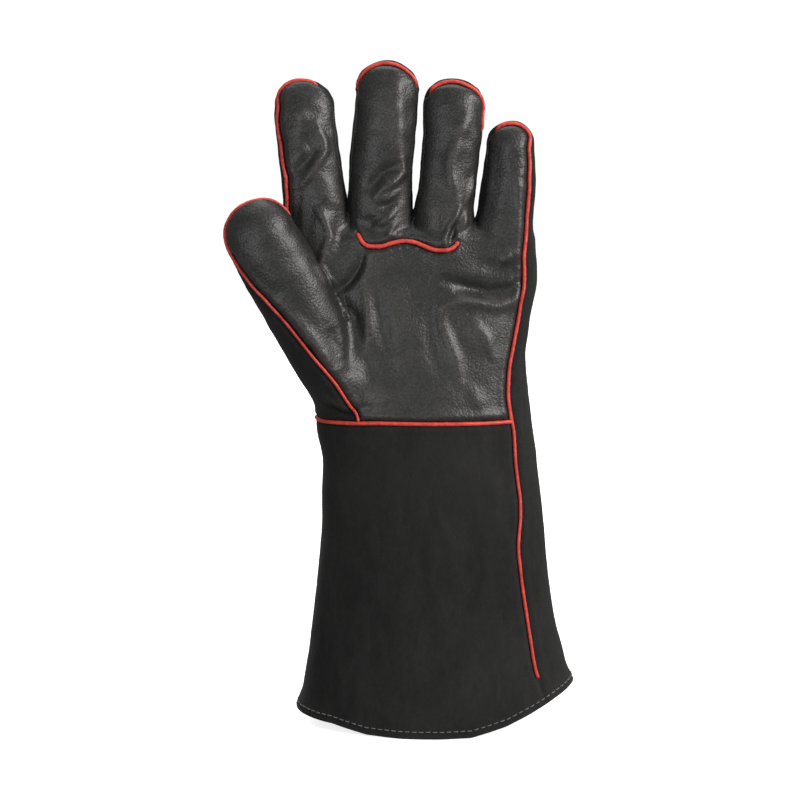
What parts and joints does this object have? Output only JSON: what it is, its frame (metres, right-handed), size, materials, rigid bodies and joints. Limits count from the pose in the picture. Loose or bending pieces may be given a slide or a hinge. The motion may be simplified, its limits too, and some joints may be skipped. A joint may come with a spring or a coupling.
{
  "type": "heat resistant glove",
  "caption": "Left-hand leather gauntlet glove that guards the hand and forearm from heat at a grill or fire: grain palm, suede cuff and back, piped seams.",
  "frame": {"origin": "under the middle of the glove, on the surface that the hem of the cuff stands on", "axes": "+Z from the hem to the fingertips, palm side towards -Y, thumb at -X"},
  "size_m": [0.1832, 0.0766, 0.3558],
  "materials": {
    "grain_leather": "satin pebbled grain",
    "suede": "matte suede nap",
    "lining": "brushed fleece",
    "piping": "smooth satin",
    "thread": "twisted thread"
  },
  "bodies": {
    "cuff": {"cuff_front_panel": "suede", "cuff_back_panel": "suede", "cuff_lining": "lining", "cuff_hem_turn": "suede", "cuff_hem_stitching": "thread", "cuff_side_piping": "piping", "cuff_thumb_side_piping": "piping", "wrist_piping": "piping"},
    "hand": {"palm_panel": "grain_leather", "hand_back_panel": "suede", "hand_lining": "lining", "hand_side_piping": "piping", "index_side_piping": "piping", "finger_base_piping": "piping", "thumb_root_piping": "piping"},
    "index_lower": {"index_lower_front": "grain_leather", "index_lower_back": "suede", "index_lower_lining": "lining", "index_lower_piping": "piping"},
    "index_upper": {"index_upper_front": "grain_leather", "index_upper_back": "suede", "index_upper_lining": "lining", "index_upper_piping": "piping"},
    "middle_lower": {"middle_lower_front": "grain_leather", "middle_lower_back": "suede", "middle_lower_lining": "lining", "middle_lower_piping": "piping"},
    "middle_upper": {"middle_upper_front": "grain_leather", "middle_upper_back": "suede", "middle_upper_lining": "lining", "middle_upper_piping": "piping"},
    "ring_lower": {"ring_lower_front": "grain_leather", "ring_lower_back": "suede", "ring_lower_lining": "lining", "ring_lower_piping": "piping"},
    "ring_upper": {"ring_upper_front": "grain_leather", "ring_upper_back": "suede", "ring_upper_lining": "lining", "ring_upper_piping": "piping"},
    "little_lower": {"little_lower_front": "grain_leather", "little_lower_back": "suede", "little_lower_lining": "lining", "little_lower_piping": "piping"},
    "little_upper": {"little_upper_front": "grain_leather", "little_upper_back": "suede", "little_upper_lining": "lining", "little_upper_piping": "piping"},
    "thumb_lower": {"thumb_lower_front": "grain_leather", "thumb_lower_back": "suede", "thumb_lower_lining": "lining", "thumb_lower_piping": "piping"},
    "thumb_upper": {"thumb_upper_front": "grain_leather", "thumb_upper_back": "suede", "thumb_upper_lining": "lining", "thumb_upper_piping": "piping"}
  },
  "joints": [
    {"name": "wrist_bend", "type": "hinge", "parent": "cuff", "child": "hand", "pos_m": [0.0108, -0.002, 0.167], "axis": [1, 0, 0], "range_deg": [-15, 25], "stiffness_Nm_per_rad": 1.2},
    {"name": "index_base_bend", "type": "hinge", "parent": "hand", "child": "index_lower", "pos_m": [-0.0475, -0.0066, 0.291], "axis": [1, 0, 0], "range_deg": [0, 50], "stiffness_Nm_per_rad": 0.06},
    {"name": "index_middle_bend", "type": "hinge", "parent": "index_lower", "child": "index_upper", "pos_m": [-0.0506, -0.0066, 0.318], "axis": [1, 0, 0], "range_deg": [0, 60], "stiffness_Nm_per_rad": 0.04},
    {"name": "middle_base_bend", "type": "hinge", "parent": "hand", "child": "middle_lower", "pos_m": [-0.0123, -0.00675, 0.292], "axis": [1, 0, 0], "range_deg": [0, 50], "stiffness_Nm_per_rad": 0.06},
    {"name": "middle_middle_bend", "type": "hinge", "parent": "middle_lower", "child": "middle_upper", "pos_m": [-0.01, -0.00675, 0.323], "axis": [1, 0, 0], "range_deg": [0, 60], "stiffness_Nm_per_rad": 0.04},
    {"name": "ring_base_bend", "type": "hinge", "parent": "hand", "child": "ring_lower", "pos_m": [0.0227, -0.0066, 0.291], "axis": [1, 0, 0], "range_deg": [0, 50], "stiffness_Nm_per_rad": 0.06},
    {"name": "ring_middle_bend", "type": "hinge", "parent": "ring_lower", "child": "ring_upper", "pos_m": [0.0253, -0.0066, 0.319], "axis": [1, 0, 0], "range_deg": [0, 60], "stiffness_Nm_per_rad": 0.04},
    {"name": "little_base_bend", "type": "hinge", "parent": "hand", "child": "little_lower", "pos_m": [0.0538, -0.0061, 0.281], "axis": [1, 0, 0], "range_deg": [0, 50], "stiffness_Nm_per_rad": 0.06},
    {"name": "little_middle_bend", "type": "hinge", "parent": "little_lower", "child": "little_upper", "pos_m": [0.0556, -0.0061, 0.303], "axis": [1, 0, 0], "range_deg": [0, 60], "stiffness_Nm_per_rad": 0.04},
    {"name": "thumb_base_bend", "type": "hinge", "parent": "hand", "child": "thumb_lower", "pos_m": [-0.05217, -0.024, 0.22631], "axis": [0.8886, 0, 0.4587], "range_deg": [0, 30], "stiffness_Nm_per_rad": 0.08},
    {"name": "thumb_middle_bend", "type": "hinge", "parent": "thumb_lower", "child": "thumb_upper", "pos_m": [-0.06593, -0.029, 0.25297], "axis": [0.8886, 0, 0.4587], "range_deg": [0, 50], "stiffness_Nm_per_rad": 0.05}
  ]
}
